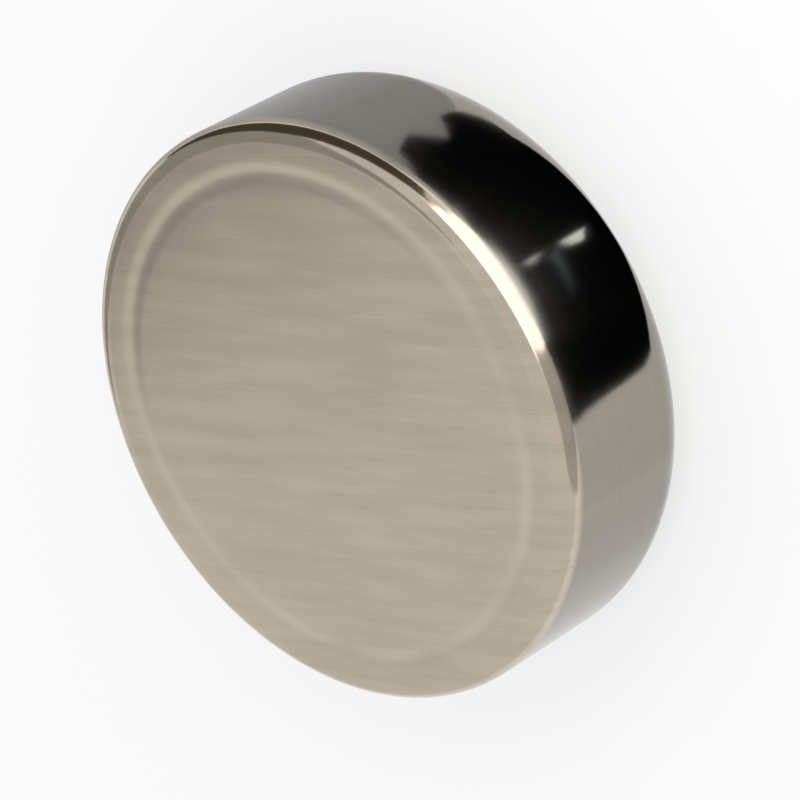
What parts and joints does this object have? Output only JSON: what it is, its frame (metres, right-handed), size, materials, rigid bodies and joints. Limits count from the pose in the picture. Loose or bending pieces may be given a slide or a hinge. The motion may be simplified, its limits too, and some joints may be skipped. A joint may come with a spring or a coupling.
{
  "type": "earbud battery",
  "caption": "Small round rechargeable lithium button cell with a crimped nickel-plated steel can, for wireless earbuds.",
  "frame": {"origin": "middle of the negative contact face, which the cell stands on", "axes": "+Z along the cell's axis, from the negative cap to the flat positive can face"},
  "size_m": [0.0162, 0.016, 0.0054],
  "materials": {
    "nickel_plated_steel": "satin",
    "seal_plastic": "matte",
    "positive_coating": "matte",
    "negative_coating": "matte",
    "separator": "matte",
    "insulator": "matte",
    "aluminium_foil": "bright",
    "nickel_foil": "bright",
    "amber_tape": "gloss"
  },
  "bodies": {
    "root": {"positive_can": "nickel_plated_steel", "negative_cap": "nickel_plated_steel", "seal_ring": "seal_plastic", "positive_electrode": "positive_coating", "negative_electrode": "negative_coating", "inner_separator": "separator", "outer_separator": "separator", "winding_tape": "amber_tape", "positive_insulator": "insulator", "negative_insulator": "insulator", "positive_tab": "aluminium_foil", "negative_tab": "nickel_foil", "positive_tab_tape": "amber_tape", "negative_tab_tape": "amber_tape"}
  },
  "joints": []
}
